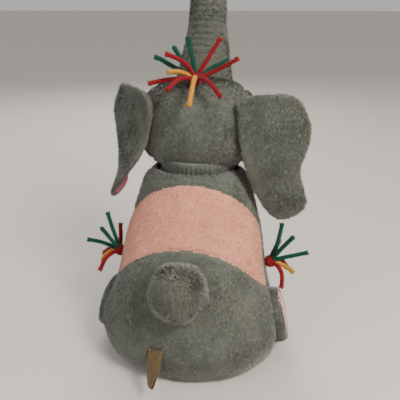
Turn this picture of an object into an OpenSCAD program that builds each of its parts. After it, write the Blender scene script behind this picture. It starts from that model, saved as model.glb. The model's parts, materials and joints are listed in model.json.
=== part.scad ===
// Stuffed elephant: a seated plush toy with a raised trunk, a pink saddle panel and
// tufts of rug yarn. It faces -Y, +X is its left side, and it sits on Z = 0. The origin
// is the centre of the flat seat panel's underside.

/* [Body] */
// Width of the stuffed body at the hips, mm
body_width = 156; // [110:1:180]
// Depth of the body from back to belly at the hips, mm
body_depth = 110; // [90:1:150]
// Height of the body from the seat to the neck seam, mm
body_height = 157; // [130:1:210]
// How far the neck stands in front of the middle of the seat, mm
body_lean = 40; // [20:1:60]
// Width of the neck seam, mm
neck_width = 78; // [60:1:90]
// Depth of the neck seam, mm
neck_depth = 60; // [46:1:80]
// Radius of the flat seat panel, mm
seat_radius = 46; // [28:1:56]

/* [Head] */
// Width of the head across the cheeks, mm
head_width = 100; // [70:1:110]
// Depth of the head from nape to face, mm
head_depth = 78; // [66:1:100]
// Height of the head from neck to crown, mm
head_height = 77; // [66:1:100]
// How far the head's middle stands in front of the neck, mm
head_forward = 10; // [0:1:20]
// Radius of an eye, mm
eye_radius = 5.5; // [3:0.5:8]

/* [Trunk] */
// Radius of the trunk where it leaves the face, mm
trunk_root_radius = 23; // [18:0.5:34]
// Radius of the trunk at its tip, mm
trunk_tip_radius = 14; // [10:0.5:20]
// Length of each of the trunk's three stuffed lengths, mm
trunk_step = 36; // [28:1:46]
// Forward lean of each length from the root up, degrees
trunk_lean = [23, 8, -3]; // [-30:1:60]

/* [Ears] */
// How far an ear reaches out from its seam, mm
ear_reach = 56; // [44:1:76]
// Height of an ear from lobe to top, mm
ear_height = 104; // [90:1:140]
// How far the right ear is folded forward, degrees
ear_fold_right = -4; // [-10:1:70]
// How far the left ear is folded forward, degrees
ear_fold_left = 38; // [-10:1:70]
// How far the left ear's lobe is twisted forward, degrees
ear_twist_left = 58; // [0:1:80]
// How far the right ear's lobe is twisted forward, degrees
ear_twist_right = 0; // [0:1:60]
// How far the left ear's lower end stands out to the side, degrees
ear_splay_left = 10; // [0:1:20]
// How far the right ear's lower end stands out to the side, degrees
ear_splay_right = 3; // [0:1:20]
// Depth of the cup in an ear, mm
ear_cup = 7; // [0:0.5:14]

/* [Legs] */
// Radius of a hind leg at the hip, mm
hind_radius = 26; // [20:0.5:32]
// Radius of a hind leg's sole, mm
sole_radius = 23.5; // [18:0.5:28]
// Distance between the soles of the hind feet, mm
hind_span = 166; // [140:1:200]
// Direction of a hind leg, measured back from straight ahead, degrees
hind_spread = 88; // [40:1:100]
// How far a hind leg points up, degrees
hind_rise = 12; // [0:1:20]
// Radius of a front leg, mm
front_radius = 20; // [15:0.5:24]
// Height of the shoulder joint above the table, mm
shoulder_height = 96; // [80:1:130]
// Distance between the middles of the front legs, mm
front_span = 50; // [50:1:80]

/* [Tail and label] */
// Radius of the tail's pompom, mm
pompom_radius = 19.5; // [12:0.5:26]
// Height of the tail as a share of the body's height
tail_share = 0.52; // [0.2:0.01:0.6]
// Width of the ribbon label, mm
label_width = 11; // [8:0.5:24]
// Length of the ribbon label below its seam, mm
label_length = 27; // [15:1:40]
// Distance of the label from the middle of the back, mm
label_side = 14; // [0:1:40]

/* [Cloth and yarn] */
// Thickness of the plush cloth, mm
plush_thickness = 2.4; // [1.5:0.1:4]
// Thickness of the felt in the ears, soles and mouth, mm
felt_thickness = 1.8; // [1:0.1:3]
// Gap between two pieces that move past each other, mm
play = 1.2; // [0.8:0.1:2]
// Radius of one strand of rug yarn, mm
yarn_radius = 2.1; // [1.2:0.1:2.6]

/* [Hidden] */
$fn = 48;
w = body_width / 2;
d = body_depth / 2;
h = body_height;
// Gap between two pieces sewn to each other
seam = 0.15;
neck_y = -body_lean;
// Side of the body where the two flank seams run
flank = 88;

// Which piece to show

PLUSH = [0.40, 0.41, 0.37];
PINK = [0.88, 0.67, 0.58];
ROSE = [0.80, 0.20, 0.32];
FILL = [0.93, 0.92, 0.88];
GREEN = [0.05, 0.32, 0.20];
RED = [0.55, 0.05, 0.08];
YELLOW = [0.80, 0.55, 0.15];

// ---- Smooth curves through a few stations ----

function slope(T, i, k) =
    let (a = max(i - 1, 0), b = min(i + 1, len(T) - 1))
    (T[b][k] - T[a][k]) / (T[b][0] - T[a][0]);

// Column k of table T at x, on a smooth curve through the rows
function along(T, x, k, i = 0) =
    (i < len(T) - 2 && x > T[i + 1][0]) ? along(T, x, k, i + 1)
    : let (
        g = T[i + 1][0] - T[i][0],
        s = (x - T[i][0]) / g
    )
    (2 * s^3 - 3 * s^2 + 1) * T[i][k] + (s^3 - 2 * s^2 + s) * g * slope(T, i, k)
    + (3 * s^2 - 2 * s^3) * T[i + 1][k] + (s^3 - s^2) * g * slope(T, i + 1, k);

// The larger or smaller of two values, with the corner rounded by r
function soft_max(a, b, r) = (a + b + sqrt((a - b)^2 + r * r)) / 2;
function soft_min(a, b, r) = -soft_max(-a, -b, r);
function sq(x, e) = sign(x) * pow(abs(x), e);
function unit(v) = v / norm(v);

// The point of surface f at (a, b), sunk by depth along the surface's normal
function sunk(f, a, b, depth) =
    let (
        e = 0.004,
        b0 = max(b - e, 0),
        b1 = min(b + e, 1),
        n = cross(f(a + e, b) - f(a - e, b), f(a, b1) - f(a, b0))
    )
    f(a, b) - depth * n / norm(n);

// ---- Solids made from a surface f(a, b), with a and b from 0 to 1 ----

// Triangles of a grid of rows by cols points, from point number k
function grid(rows, cols, k, flip) = [
    for (i = [0:rows - 2], j = [0:cols - 2])
        let (p = k + i * cols + j, q = p + cols)
        each flip ? [[p, p + 1, q], [p + 1, q + 1, q]] : [[p, q, p + 1], [p + 1, q, q + 1]]
];

// A sewn panel: a sheet between the surface and its sunk copy
module panel(f, na, nb, thickness = plush_thickness) {
    cols = nb + 1;
    k = (na + 1) * cols;
    outer = [for (i = [0:na], j = [0:nb]) sunk(f, i / na, j / nb, 0)];
    inner = [for (i = [0:na], j = [0:nb]) sunk(f, i / na, j / nb, thickness)];
    rim = concat(
        [for (j = [0:nb]) j],
        [for (i = [1:na]) i * cols + nb],
        [for (j = [nb - 1:-1:0]) na * cols + j],
        [for (i = [na - 1:-1:1]) i * cols]
    );
    m = len(rim);
    walls = [
        for (i = [0:m - 1])
            let (p = rim[i], q = rim[(i + 1) % m])
            each [[p, p + k, q], [q, p + k, q + k]]
    ];
    polyhedron(concat(outer, inner), concat(grid(na + 1, cols, 0, true), grid(na + 1, cols, k, false), walls));
}

// Ring after ring of points round b, closed by a fan onto one point at each open end
function rings_of(f, na, bs, depth) =
    [for (b = bs, i = [0:na - 1]) sunk(f, i / na, b, depth)];
function ring_faces(na, rows, k, flip) = [
    for (j = [0:rows - 2], i = [0:na - 1])
        let (p = k + j * na + i, q = k + j * na + (i + 1) % na, r = p + na, s = q + na)
        each flip ? [[p, r, q], [q, r, s]] : [[p, q, r], [q, s, r]]
];
function fan(na, k, tip, flip) = [
    for (i = [0:na - 1])
        let (p = k + i, q = k + (i + 1) % na)
        flip ? [p, q, tip] : [q, p, tip]
];

// A stuffed solid: rings from b = 0 to b = 1 with a point in the middle of each end
module stuffed(f, na, nb, depth = 0, from = 0, to = 1) {
    bs = [for (j = [0:nb]) from + (to - from) * j / nb];
    body = rings_of(f, na, bs, depth);
    n = len(body);
    low = [for (i = [0:na - 1]) body[i]];
    high = [for (i = [n - na:n - 1]) body[i]];
    centre = function(r) [for (c = [0:2]) [for (p = r) 1] * [for (p = r) p[c]] / len(r)];
    polyhedron(
        concat(body, [centre(low), centre(high)]),
        concat(ring_faces(na, nb + 1, 0, true), fan(na, 0, n, true), fan(na, n - na, n + 1, false))
    );
}

// A domed sheet: rings from its rim at b = 0 to its crown, with a smaller copy inside
module dome(f, crown, inner_crown, na, nb, thickness) {
    bs = [for (j = [0:nb - 1]) j / nb];
    outer = rings_of(f, na, bs, 0);
    inner = rings_of(f, na, bs, thickness);
    n = len(outer);
    rim = [
        for (i = [0:na - 1])
            let (q = (i + 1) % na)
            each [[i, n + 1 + i, q], [q, n + 1 + i, n + 1 + q]]
    ];
    polyhedron(
        concat(outer, [crown], inner, [inner_crown]),
        concat(
            ring_faces(na, nb, 0, true), fan(na, n - na, n, false),
            ring_faces(na, nb, n + 1, false), fan(na, n + 1 + n - na, n + 1 + n, true),
            [for (t = rim) [t[0], t[2], t[1]]]
        )
    );
}

module mirror_if(yes) {
    if (yes) mirror([1, 0, 0]) children();
    else children();
}

// ---- Body ----

// Share of height, middle, half width and half depth of the body
body_rows = [
    [0, 0, seat_radius + seam, seat_radius + seam],
    [0.05, 0, 0.87 * w, 0.92 * d],
    [0.14, 0, 0.97 * w, d],
    [0.26, 0.02 * neck_y, w, d],
    [0.46, 0.14 * neck_y, 0.82 * w, 0.92 * d],
    [0.68, 0.48 * neck_y, (0.46 * w + 0.54 * neck_width / 2), 0.80 * d],
    [0.88, 0.84 * neck_y, 1.24 * neck_width / 2, 1.26 * neck_depth / 2],
    [0.97, 0.97 * neck_y, 1.12 * neck_width / 2, 1.12 * neck_depth / 2],
    [1, neck_y, 0.92 * neck_width / 2, 0.88 * neck_depth / 2]
];

// The body's surface: u is the angle round from the back, t the share of height
function body_at(u, t) = [
    along(body_rows, t, 2) * sq(sin(u), 0.92),
    along(body_rows, t, 1) + along(body_rows, t, 3) * sq(cos(u), 0.92),
    t * h
];

// Hems of the saddle panel: both arch up over the back
function low_hem(u) = 0.43 + 0.265 * pow(cos(u), 1.15);
function high_hem(u) = 0.72 + 0.252 * pow(cos(u), 0.8);

module back_panel(low, high, nb) {
    panel(function(a, b)
        let (u = flank * (1 - 2 * a), t = low(u) + (high(u) - low(u)) * b) body_at(u, t), 24, nb);
}

module seat_panel() {
    color(PLUSH) difference() {
        cylinder(r1 = seat_radius, r2 = seat_radius - 1.2 * plush_thickness, h = plush_thickness);
        hip_sockets();
    }
}

module rump_panel() {
    color(PLUSH) difference() {
        back_panel(function(u) 0, function(u) low_hem(u) - seam / h, 14);
        hip_sockets();
    }
}

module saddle_panel() {
    color(PINK) back_panel(function(u) low_hem(u), function(u) high_hem(u), 7);
}

module shoulder_panel() {
    color(PLUSH) back_panel(function(u) high_hem(u) + seam / h, function(u) 1, 6);
}

module belly_panel() {
    color(PLUSH) difference() {
        panel(function(a, b) body_at(-flank - seam - (360 - 2 * flank - 2 * seam) * a, b), 20, 18);
        hip_sockets();
    }
}

module body_stuffing() {
    color(FILL) difference() {
        stuffed(function(a, b) body_at(-360 * a, b), 40, 14, plush_thickness + 9 * seam,
            (plush_thickness + 4 * seam) / h, 0.98);
        hip_sockets();
        cylinder(r = seat_radius + seam, h = 2 * (plush_thickness + seam), center = true);
    }
}

// ---- Hind legs ----

hip_z = hind_radius + 0.4;
hind_dir = [sin(hind_spread) * cos(hind_rise), -cos(hind_spread) * cos(hind_rise), sin(hind_rise)];
hip_reach = 0.46;
// Length of a hind leg from the hip's middle to the sole
hind_length = hind_span / 2 * hip_reach / hind_dir[0];
hip = [hind_span / 2 * (1 - hip_reach), 0.32 * neck_y, hip_z];
// How far a hind leg lifts, degrees
hind_lift = 12;

// Puts its children on the hip with +Z out along the leg
module at_hip(left) {
    mirror_if(!left) translate(hip) rotate([0, 90 - hind_rise, hind_spread - 90]) rotate([0, 0, 90]) children();
}

// Room in the body for both hips and the swing of the legs
module hip_sockets() {
    for (left = [false, true]) at_hip(left) {
        sphere(r = hind_radius + 0.6);
        cylinder(r1 = hind_radius + 0.6, r2 = hind_radius + 0.6 + hind_length * tan(hind_lift), h = hind_length);
    }
}

hind_rows = [
    [0, -hind_radius * 0.98, 0.2 * hind_radius],
    [0.10, -hind_radius * 0.80, 0.60 * hind_radius],
    [0.22, -hind_radius * 0.50, 0.866 * hind_radius],
    [0.40, 0, hind_radius * 0.995],
    [0.65, 0.4 * hind_length, 0.5 * hind_radius + 0.5 * sole_radius],
    [0.90, 0.88 * hind_length, sole_radius],
    [1, hind_length - 1, 0.93 * sole_radius]
];
function round_at(T, a, b) = [
    along(T, b, 2) * cos(360 * a), along(T, b, 2) * sin(360 * a), along(T, b, 1)
];

module hind_skin(left) {
    color(PLUSH) at_hip(left) tube_skin(function(a, b) round_at(hind_rows, a, b), 28, 8, plush_thickness);
}

module hind_stuffing(left) {
    color(FILL) at_hip(left)
        stuffed(function(a, b) round_at(hind_rows, a, b), 22, 8, plush_thickness + 4 * seam, 0.04, 0.97);
}

// The puffy sole sewn over the end of a hind leg
module sole(left) {
    color(PINK) at_hip(left) translate([0, 0, hind_length - 1 + seam])
        puff(0.90 * sole_radius, felt_thickness, 4.5);
}

// A skin that is open at both ends
module tube_skin(f, na, nb, thickness) {
    bs = [for (j = [0:nb]) j / nb];
    outer = rings_of(f, na, bs, 0);
    inner = rings_of(f, na, bs, thickness);
    n = len(outer);
    low = [
        for (i = [0:na - 1])
            let (q = (i + 1) % na)
            each [[i, q, n + i], [q, n + q, n + i]]
    ];
    high = [
        for (i = [0:na - 1])
            let (k = n - na, q = (i + 1) % na)
            each [[k + i, n + k + i, k + q], [k + q, n + k + i, n + k + q]]
    ];
    polyhedron(
        concat(outer, inner),
        concat(ring_faces(na, nb + 1, 0, true), ring_faces(na, nb + 1, n, false), low, high)
    );
}

// A round pad on Z = 0 with a crown of the given height
module puff(r, edge, crown) {
    rotate_extrude()
        polygon(concat(
            [[0, 0], [r, 0]],
            [for (s = [0:8]) [r * cos(90 * s / 8), edge + crown * sin(90 * s / 8)]]
        ));
}

// ---- Front legs ----

shoulder = [front_span / 2, chest_y(front_span / 2) - front_radius - play, shoulder_height];
front_length = shoulder_height - 0.4 - felt_thickness - seam;
// The front of the body nearest to a front leg at x
function chest_y(x) = min([
    for (s = [0.05:0.05:0.75])
        along(body_rows, s, 1) - along(body_rows, s, 3) * sqrt(max(0, 1 - pow(x / along(body_rows, s, 2), 2)))
]);

front_rows = [
    [0, front_radius * 0.97, 0.24 * front_radius],
    [0.07, front_radius * 0.80, 0.60 * front_radius],
    [0.15, front_radius * 0.50, 0.866 * front_radius],
    [0.26, 0, 0.995 * front_radius],
    [0.60, -0.5 * front_length, 0.92 * front_radius],
    [0.90, -0.9 * front_length, 1.06 * front_radius],
    [1, -front_length, 0.98 * front_radius]
];

module at_shoulder(left) {
    mirror_if(!left) translate(shoulder) mirror([0, 0, 1]) children();
}

function front_at(a, b) = let (p = round_at(front_rows, a, b)) [p[0], p[1], -p[2]];

module front_skin(left) {
    color(PLUSH) at_shoulder(left) tube_skin(function(a, b) front_at(a, b), 24, 10, plush_thickness);
}

module front_stuffing(left) {
    color(FILL) at_shoulder(left)
        stuffed(function(a, b) front_at(a, b), 20, 9, plush_thickness + 4 * seam, 0.03, 1);
}

module pad(left) {
    color(PINK) at_shoulder(left) translate([0, 0, front_length + seam])
        cylinder(r = 0.95 * front_radius, h = felt_thickness);
}

// ---- Neck ----

neck_plug_height = 5;
// Fall of the plug's top from its middle to its edge, which leaves room to nod
plug_crown = 2.4;
neck_gap = 0.4;
neck_z = 0.985 * h + neck_gap;
nod = [0, neck_y, neck_z + neck_plug_height + play / 2];
plug_radius = 0.62 * neck_depth / 2;

module neck_plug() {
    color(FILL) translate([0, neck_y, neck_z]) rotate_extrude() polygon(concat(
        [[0, 0], [plug_radius, 0]],
        [for (s = [0:8]) [plug_radius * (1 - s / 8), neck_plug_height - plug_crown * pow(1 - s / 8, 2)]]
    ));
}

// Ladder-stitch thread drawn tight round the neck
module neck_thread() {
    color(PLUSH) translate([0, neck_y, neck_z + 0.9]) rotate_extrude() translate([plug_radius + 0.65, 0])
        circle(r = 0.6, $fn = 16);
}

// ---- Head ----

hx = head_width / 2;
hy = head_depth / 2;
hz = head_height / 2;
head_floor = nod[2] + play / 2;
head = [0, neck_y - head_forward, head_floor + 0.82 * hz];
// Half width of the gusset that runs over the crown, degrees
gusset = 44;

// The head's surface: f runs round from nape over crown to face, g out to the cheek
function head_at(f, g) =
    let (
        cg = sq(cos(g), 0.74),
        y = cg * sq(cos(f), 0.80),
        z = cg * sq(sin(f), sin(f) < 0 ? 0.66 : 0.80),
        narrow = 1 - 0.20 * pow(max(0, -y), 2)
    )
    [
        head[0] + hx * narrow * sq(sin(g), 0.80),
        head[1] + hy * y,
        soft_max(head[2] + hz * z, head_floor, 3)
    ];

module head_side(left) {
    f = function(a, b) head_at(360 * a, gusset + (90 - gusset) * b + 0.2 * (1 - b));
    tip = head_at(0, 90);
    color(PLUSH) mirror_if(!left)
        dome(f, tip, tip - [plush_thickness, 0, 0], 32, 7, plush_thickness);
}

module head_gusset() {
    color(PLUSH) panel(function(a, b) head_at(-80 + 280 * a, gusset * (2 * b - 1)), 28, 12);
}

module chin_panel() {
    color(PLUSH) panel(function(a, b) head_at(200.4 + 79.2 * a, gusset * (2 * b - 1)), 8, 12);
}

module head_stuffing() {
    color(FILL) stuffed(function(a, b) head_at(360 * a, 172 * b - 86), 28, 12, plush_thickness + 4 * seam);
}

// The eye sits on the cheek, in front and above the middle
eye_f = 162;
eye_g = 50;
eye_spot = head_at(eye_f, eye_g);
eye_normal = unit([eye_spot[0] / (hx * hx), (eye_spot[1] - head[1]) / (hy * hy), (eye_spot[2] - head[2]) / (hz * hz)]);

module at_eye(left) {
    mirror_if(!left) translate(eye_spot)
        rotate([0, acos(eye_normal[2]), atan2(eye_normal[1], eye_normal[0])]) children();
}

// Safety eye: a dome with its shank through the cloth
module eye(left) {
    color([0.05, 0.04, 0.04]) at_eye(left) {
        translate([0, 0, 0.4]) intersection() {
            sphere(r = eye_radius);
            translate([0, 0, eye_radius / 2]) cube([3, 3, 1] * eye_radius, center = true);
        }
        translate([0, 0, -9]) cylinder(r = 1.6, h = 10, $fn = 20);
    }
}

module eye_washer(left) {
    color([0.85, 0.85, 0.82]) at_eye(left) translate([0, 0, -6.5]) difference() {
        cylinder(r = 1.2 * eye_radius, h = 1.4);
        cylinder(r = 1.65, h = 4, center = true, $fn = 20);
    }
}

// The lower lip under the root of the trunk
jaw_f = 196;
jaw_spot = head_at(jaw_f, 0) + [0, -3.6, 0];

module jaw() {
    color(PLUSH) translate(jaw_spot) rotate([96, 0, 0]) scale([1.35, 0.8, 1]) puff(15, 1, 13);
}

module mouth_felt() {
    color(ROSE) translate(jaw_spot + [0, 0.5, 17]) rotate([96, 0, 0])
        scale([1.9, 0.42, 1]) cylinder(r = 9, h = felt_thickness);
}

// ---- Trunk ----

root_f = 126;
// Gap between two lengths of trunk on its middle line
trunk_gap = 2.2 * play;
root_spot = head_at(root_f, 0);
function trunk_dir(i) = [0, -sin(trunk_lean[i]), cos(trunk_lean[i])];
trunk_start = root_spot + 0.75 * play * trunk_dir(0);
function trunk_joint(i) = i == 0 ? trunk_start : trunk_joint(i - 1) + trunk_step * trunk_dir(i - 1);
function trunk_radius(s) = trunk_tip_radius + (trunk_root_radius - trunk_tip_radius) * pow(1 - s / 3, 1.4);

// One length of trunk: rounded into the joints at both ends
function trunk_at(i, a, b) =
    let (
        z = trunk_gap / 2 + (trunk_step - trunk_gap) * soft_end(b),
        r = trunk_radius(i + soft_end(b)) * end_round(soft_end(b))
    )
    [r * cos(360 * a), r * sin(360 * a), z];
// Slices are closer together at the ends
function soft_end(b) = 0.5 - 0.5 * cos(180 * b);
function end_round(b) = let (s = min(b, 1 - b) * 3.2) s >= 1 ? 1 : 0.26 + 0.74 * pow(1 - pow(1 - s, 2), 0.8);

module at_trunk(i) {
    translate(trunk_joint(i)) rotate([trunk_lean[i], 0, 0]) children();
}

module trunk_skin(i) {
    color(PLUSH) at_trunk(i) tube_skin(function(a, b) trunk_at(i, a, b), 24, 10, plush_thickness);
}

module trunk_stuffing(i) {
    color(FILL) at_trunk(i) stuffed(function(a, b) trunk_at(i, a, b), 20, 8, plush_thickness + 3 * seam, 0.01, 0.99);
}

// Felt disc over the end of the trunk
module trunk_tip() {
    color(PINK) at_trunk(2) translate([0, 0, trunk_step - trunk_gap / 2 + seam])
        puff(0.86 * trunk_tip_radius, 0.6, 2.2);
}

// ---- Ears ----

// Angle round the ear's middle, share of reach outward, share of height upward
ear_rows = [
    [0, 0.93, 0.05],
    [30, 0.96, 0.20],
    [62, 0.80, 0.385],
    [95, 0.40, 0.435],
    [128, 0.02, 0.40],
    [160, -0.03, 0.25],
    [190, 0.00, 0.06],
    [222, 0.10, -0.20],
    [252, 0.32, -0.46],
    [278, 0.62, -0.555],
    [306, 0.94, -0.44],
    [332, 0.82, -0.17],
    [360, 0.93, 0.05]
];
ear_spot = [0.76 * hx, head[1] + 0.88 * hy, head[2] - 0.36 * hz];
ear_middle = [0.45 * ear_reach, -0.06 * ear_height];
// Share of the reach round which the lobe twists
ear_lobe = 0.75;

// The ear's surface: a runs round the rim, b in towards the middle, set back by depth
function ear_at(a, b, back, twist) =
    let (
        u = 360 * a,
        x = along(ear_rows, u, 1) * ear_reach,
        z = along(ear_rows, u, 2) * ear_height,
        q = [ear_middle[0] + (x - ear_middle[0]) * (1 - b), ear_middle[1] + (z - ear_middle[1]) * (1 - b)],
        low = max(0, 0.06 - q[1] / ear_height) / 0.6,
        y = back - ear_cup * pow(q[0] / ear_reach, 2) - 0.5 * ear_cup * low * low,
        turn = -twist * pow(low, 1.3),
        c = ear_lobe * ear_reach
    )
    [c + (q[0] - c) * cos(turn) - y * sin(turn), (q[0] - c) * sin(turn) + y * cos(turn), q[1]];

module at_ear(left) {
    fold = left ? ear_fold_left : ear_fold_right;
    mirror_if(!left) translate(ear_spot) rotate([0, 0, -fold])
        rotate([0, left ? -ear_splay_left : -ear_splay_right, 0]) children();
}

module ear_layer(left, back, thickness, share) {
    twist = left ? ear_twist_left : ear_twist_right;
    f = function(a, b) ear_at(1 - a - floor(1 - a), 1 - share * (1 - b), back, twist);
    mid = ear_at(0, 1, back, twist);
    at_ear(left) dome(f, mid, mid - [0, thickness, 0], 36, 7, thickness);
}

module ear_back(left) {
    color(PLUSH) ear_layer(left, plush_thickness, plush_thickness, 1);
}

module ear_lining(left) {
    color(ROSE) ear_layer(left, -3 * seam, felt_thickness, 0.95);
}

// ---- Tail and label ----

tail_root = body_at(0, tail_share);
tail_centre = tail_root + [0, pompom_radius * 0.55, 2];

// The tail is a stuffed ball drawn in against the body
function ball_at(r, a, b) =
    let (c = 160 * b - 80)
    [r * cos(c) * cos(360 * a), r * cos(c) * sin(360 * a), r * sin(c)];

module tail_place() {
    translate(tail_root + [0, play * 0.6, 2]) rotate([-tail_tilt, 0, 0]) rotate([-90, 0, 0]) children();
}
// Slope of the back where the tail is sewn on
tail_slope = body_at(0, tail_share + 0.02) - body_at(0, tail_share - 0.02);
tail_tilt = -atan2(-tail_slope[1], tail_slope[2]);

module tail_skin() {
    color(PLUSH) tail_place() rotate_extrude() difference() {
        puff_outline(pompom_radius);
        offset_outline(pompom_radius);
    }
}

// Half outline of the pompom, flat where it meets the back
module puff_outline(r) {
    intersection() {
        translate([0, 0.72 * r]) circle(r = r);
        square([2 * r, 4 * r]);
    }
}

module offset_outline(r) {
    intersection() {
        translate([0, 0.72 * r]) circle(r = r - plush_thickness);
        translate([0, plush_thickness]) square([2 * r, 4 * r]);
    }
}

module tail_stuffing() {
    color(FILL) tail_place() rotate_extrude() intersection() {
        translate([0, 0.72 * pompom_radius]) circle(r = pompom_radius - plush_thickness - seam);
        translate([0, plush_thickness + seam]) square([2, 4] * pompom_radius);
    }
}

label_share = 0.24;
label_root = body_at(atan(label_side / w) * 1.15, label_share);

// A folded ribbon: two plies joined by the fold at its lower end
module label_ribbon() {
    ply = 0.5;
    color([0.47, 0.33, 0.13]) translate(label_root + [0, 1.4 * play, 0]) rotate([0, 0, -8]) rotate([28, 0, 0])
        rotate([0, -90, 0]) linear_extrude(label_width, center = true) difference() {
            hull() {
                translate([0, -1.1]) square([0.1, 2.2]);
                translate([-label_length + 1.1, 0]) circle(r = 1.1, $fn = 20);
            }
            hull() {
                translate([0, -1.1 + ply]) square([0.2, 2.2 - 2 * ply]);
                translate([-label_length + 1.1, 0]) circle(r = 1.1 - ply, $fn = 20);
            }
        }
}

// ---- Yarn ----

// A strand from the knot: azimuth and lift in degrees, length, and droop at its tip
module strand(s, start) {
    out = function(t)
        let (r = start + (s[2] - start) * t, lift = s[1] - s[3] * t)
        [cos(s[0]) * cos(lift) * r, sin(s[0]) * cos(lift) * r, sin(lift) * r];
    side = unit([-sin(s[0]), cos(s[0]), 0]);
    ring = function(t)
        let (
            dir = unit(out(min(1, t + 0.05)) - out(max(0, t - 0.05))),
            up = cross(dir, side)
        )
        [for (i = [0:5]) out(t) + yarn_radius * (cos(60 * i) * side - sin(60 * i) * up)];
    pts = [for (j = [0:4]) each ring(j / 4)];
    n = len(pts);
    polyhedron(
        concat(pts, [out(0), out(1)]),
        concat(ring_faces(6, 5, 0, false), fan(6, 0, n, false), fan(6, n - 6, n + 1, true))
    );
}

module tuft(list, start) {
    for (s = list) strand(s, start);
}

knot_radius = 5;
crown_spot = head_at(62, 0) + [0, 0.8, 0.7 * knot_radius + 1.6];

// Azimuth, lift, length and droop of the strands on the crown
crown_green_strands = [[4, 30, 36, 0], [-18, 52, 35, 6], [-60, 70, 34, 8], [-160, 32, 30, 2]];
crown_red_strands = [
    [40, 60, 32, 8], [-173, 60, 35, 6], [174, 22, 34, 2],
    [16, 5, 37, 10], [56, 10, 33, 22], [124, 12, 36, 26]
];
crown_yellow_strands = [[98, 16, 37, 34], [34, 31, 22, 8]];

// Strands on a flank: azimuth is measured from straight out at the side
flank_green_strands = [[40, 56, 34, 0], [-30, 62, 33, -4], [0, 22, 33, 8]];
flank_red_strands = [[-38, 0, 25, 34], [40, -6, 25, 30], [-74, 28, 24, 0]];
flank_yellow_strands = [[0, -10, 23, 16]];

module crown(list) {
    translate(crown_spot) tuft(list, 2 * knot_radius);
}

flank_share = 0.52;
flank_spot = body_at(flank + 8, flank_share) + [0.45 * knot_radius + 2.4, 0, 3];

module flank_tuft(left, list) {
    mirror_if(!left) translate(flank_spot) tuft(list, 1.7 * knot_radius);
}

module crown_knot() {
    color(RED) translate(crown_spot) sphere(r = knot_radius);
}

module flank_knot(left) {
    color(RED) mirror_if(!left) translate(flank_spot) sphere(r = knot_radius);
}

// ---- Pieces ----

seat_panel();
rump_panel();
saddle_panel();
shoulder_panel();
belly_panel();
body_stuffing();
neck_plug();
neck_thread();
head_side(true);  // head_side_left
head_side(false);  // head_side_right
head_gusset();
chin_panel();
head_stuffing();
eye(true);  // eye_left
eye(false);  // eye_right
eye_washer(true);  // eye_washer_left
eye_washer(false);  // eye_washer_right
jaw();
mouth_felt();
trunk_skin(0);  // trunk_skin_1
trunk_stuffing(0);  // trunk_stuffing_1
trunk_skin(1);  // trunk_skin_2
trunk_stuffing(1);  // trunk_stuffing_2
trunk_skin(2);  // trunk_skin_3
trunk_stuffing(2);  // trunk_stuffing_3
trunk_tip();
ear_back(true);  // ear_back_left
ear_lining(true);  // ear_lining_left
ear_back(false);  // ear_back_right
ear_lining(false);  // ear_lining_right
hind_skin(true);  // hind_skin_left
hind_stuffing(true);  // hind_stuffing_left
sole(true);  // sole_left
hind_skin(false);  // hind_skin_right
hind_stuffing(false);  // hind_stuffing_right
sole(false);  // sole_right
front_skin(true);  // front_skin_left
front_stuffing(true);  // front_stuffing_left
pad(true);  // pad_left
front_skin(false);  // front_skin_right
front_stuffing(false);  // front_stuffing_right
pad(false);  // pad_right
tail_skin();
tail_stuffing();
label_ribbon();
crown_knot();
color(GREEN) crown(crown_green_strands);  // crown_green
color(RED) crown(crown_red_strands);  // crown_red
color(YELLOW) crown(crown_yellow_strands);  // crown_yellow
flank_knot(true);  // flank_knot_left
color(GREEN) flank_tuft(true, flank_green_strands);  // flank_green_left
color(RED) flank_tuft(true, flank_red_strands);  // flank_red_left
color(YELLOW) flank_tuft(true, flank_yellow_strands);  // flank_yellow_left
flank_knot(false);  // flank_knot_right
color(GREEN) flank_tuft(false, flank_green_strands);  // flank_green_right
color(RED) flank_tuft(false, flank_red_strands);  // flank_red_right
color(YELLOW) flank_tuft(false, flank_yellow_strands);  // flank_yellow_right
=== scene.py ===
"""Looks of the stuffed elephant: plush skins with pile, felt soles, yarn tufts, eyes and label.

Lengths are in metres and angles in degrees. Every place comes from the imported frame.
"""

import json
import math

import bpy
import numpy as np
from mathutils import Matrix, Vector
from mathutils.bvhtree import BVHTree


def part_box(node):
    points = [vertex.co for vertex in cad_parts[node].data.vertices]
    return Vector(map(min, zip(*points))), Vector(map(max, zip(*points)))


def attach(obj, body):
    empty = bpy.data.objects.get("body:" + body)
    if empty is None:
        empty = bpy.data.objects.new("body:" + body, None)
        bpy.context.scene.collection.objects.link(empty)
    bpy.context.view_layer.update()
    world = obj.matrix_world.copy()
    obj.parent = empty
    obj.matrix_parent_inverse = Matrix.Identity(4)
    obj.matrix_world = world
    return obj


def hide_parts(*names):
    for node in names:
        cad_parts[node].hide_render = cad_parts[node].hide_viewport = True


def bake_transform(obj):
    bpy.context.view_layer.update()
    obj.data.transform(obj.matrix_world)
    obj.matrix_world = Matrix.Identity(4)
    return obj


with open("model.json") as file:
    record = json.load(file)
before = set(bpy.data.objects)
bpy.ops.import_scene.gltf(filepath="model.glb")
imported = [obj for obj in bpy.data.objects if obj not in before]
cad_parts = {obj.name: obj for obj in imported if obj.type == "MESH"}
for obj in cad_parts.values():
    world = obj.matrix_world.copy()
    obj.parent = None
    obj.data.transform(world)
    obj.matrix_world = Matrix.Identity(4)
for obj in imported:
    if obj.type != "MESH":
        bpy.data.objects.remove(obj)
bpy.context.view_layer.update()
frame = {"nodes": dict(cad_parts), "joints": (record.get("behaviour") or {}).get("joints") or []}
NODES = frame["nodes"]
JOINTS = {joint["name"]: joint for joint in frame["joints"]}
MM = 0.001

# ---- Camera, floor and light ----

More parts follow.
